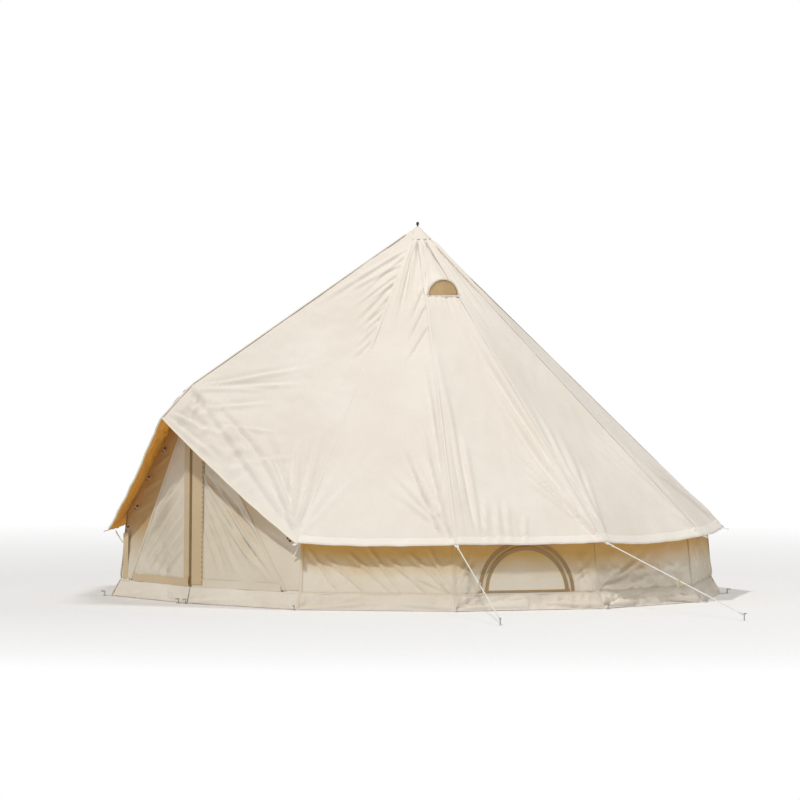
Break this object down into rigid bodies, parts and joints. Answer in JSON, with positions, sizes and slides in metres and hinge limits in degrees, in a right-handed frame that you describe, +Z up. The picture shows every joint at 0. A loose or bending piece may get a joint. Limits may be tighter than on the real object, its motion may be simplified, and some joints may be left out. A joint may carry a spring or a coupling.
{
  "type": "bell tent",
  "caption": "Round canvas bell tent on one centre pole, with low vertical walls, an A-frame doorway under a projecting hood, arched window flaps, roof vents and guy ropes.",
  "frame": {"origin": "on the ground under the centre pole, at the underside of the groundsheet", "axes": "+Z up, -Y out through the doorway, +X to the right for someone facing +Y"},
  "size_m": [5.7857, 4.2315, 2.48],
  "materials": {
    "roof_canvas": "woven cotton canvas, matt",
    "wall_canvas": "woven cotton canvas, matt",
    "reinforced_canvas": "doubled cotton canvas, stitched",
    "tan_canvas": "tan cotton tape canvas, stitched",
    "zip_tape": "brown woven zip tape with teeth",
    "net": "fine insect net",
    "groundsheet": "coated ripstop, slight sheen",
    "webbing": "flat woven webbing",
    "rope": "braided polyester cord",
    "runner": "turned and drilled hardwood, oiled",
    "toggle_wood": "dark stained hardwood",
    "galvanised_steel": "galvanised tube",
    "peg_steel": "zinc-plated rod",
    "black_plastic": "moulded, fine grain",
    "brass": "cast, brushed"
  },
  "bodies": {
    "tent": {"roof_gore_045": "roof_canvas", "roof_gore_075": "roof_canvas", "roof_gore_105": "roof_canvas", "roof_gore_135": "roof_canvas", "roof_gore_165": "roof_canvas", "roof_gore_195": "roof_canvas", "roof_gore_225": "roof_canvas", "roof_gore_255": "roof_canvas", "roof_gore_285": "roof_canvas", "roof_gore_315": "roof_canvas", "roof_front_right": "roof_canvas", "roof_front_left": "roof_canvas", "hood_right": "roof_canvas", "hood_left": "roof_canvas", "peak_cap": "reinforced_canvas", "wall_panel_045": "wall_canvas", "wall_panel_075": "wall_canvas", "wall_panel_105": "wall_canvas", "wall_panel_135": "wall_canvas", "wall_panel_165": "wall_canvas", "wall_panel_195": "wall_canvas", "wall_panel_225": "wall_canvas", "wall_panel_255": "wall_canvas", "wall_panel_285": "wall_canvas", "wall_panel_315": "wall_canvas", "bottom_band": "reinforced_canvas", "gable_right": "wall_canvas", "gable_left": "wall_canvas", "window_zips": "zip_tape", "net_screens": "net", "vent_hoods": "roof_canvas", "groundsheet": "groundsheet", "pole_lower": "galvanised_steel", "pole_upper": "galvanised_steel", "pole_foot": "black_plastic", "pole_spike": "black_plastic", "frame_legs_lower": "galvanised_steel", "frame_legs_upper": "galvanised_steel", "frame_joiner": "black_plastic", "frame_feet": "black_plastic", "eave_tabs": "webbing", "corner_ties": "webbing", "door_toggles": "toggle_wood", "ground_tabs": "webbing", "ground_pegs": "peg_steel", "guy_rope_060": "rope", "guy_rope_090": "rope", "guy_peg_060": "peg_steel", "guy_peg_090": "peg_steel"},
    "leaf_right": {"door_leaf_right": "wall_canvas", "zip_tape_right": "zip_tape", "storm_flap": "tan_canvas"},
    "leaf_left": {"door_leaf_left": "wall_canvas", "zip_tape_left": "zip_tape"},
    "slider": {"zip_slider": "brass"},
    "flap_right": {"window_flap_right": "wall_canvas"},
    "flap_left": {"window_flap_left": "wall_canvas"},
    "runner_060": {"guy_runner_060": "runner"},
    "runner_090": {"guy_runner_090": "runner"}
  },
  "joints": [
    {"name": "door_right_hinge", "type": "hinge", "parent": "tent", "child": "leaf_right", "pos_m": [0.851, -1.73794, 0.11], "axis": [-0.5654, -0.0883, 0.8201], "range_deg": [0, 80]},
    {"name": "door_left_hinge", "type": "hinge", "parent": "tent", "child": "leaf_left", "pos_m": [-0.851, -1.73794, 0.11], "axis": [-0.5654, 0.0883, -0.8201], "range_deg": [0, 80]},
    {"name": "zip_slide", "type": "slide", "parent": "leaf_left", "child": "slider", "axis": [0, 0.0075, 1], "range_m": [0, 1.1]},
    {"name": "window_right_hinge", "type": "hinge", "parent": "tent", "child": "flap_right", "pos_m": [1.85438, -0.49688, 0.11868], "axis": [0.2588, 0.9659, 0], "range_deg": [0, 110]},
    {"name": "window_left_hinge", "type": "hinge", "parent": "tent", "child": "flap_left", "pos_m": [-1.85438, -0.49688, 0.11868], "axis": [0.2588, -0.9659, 0], "range_deg": [0, 110]},
    {"name": "runner_060_slide", "type": "slide", "parent": "tent", "child": "runner_060", "axis": [0.8644, -0.4385, -0.2462], "range_m": [-0.35, 0.35]},
    {"name": "runner_090_slide", "type": "slide", "parent": "tent", "child": "runner_090", "axis": [0.9681, -0.05, -0.2455], "range_m": [-0.35, 0.35]}
  ]
}
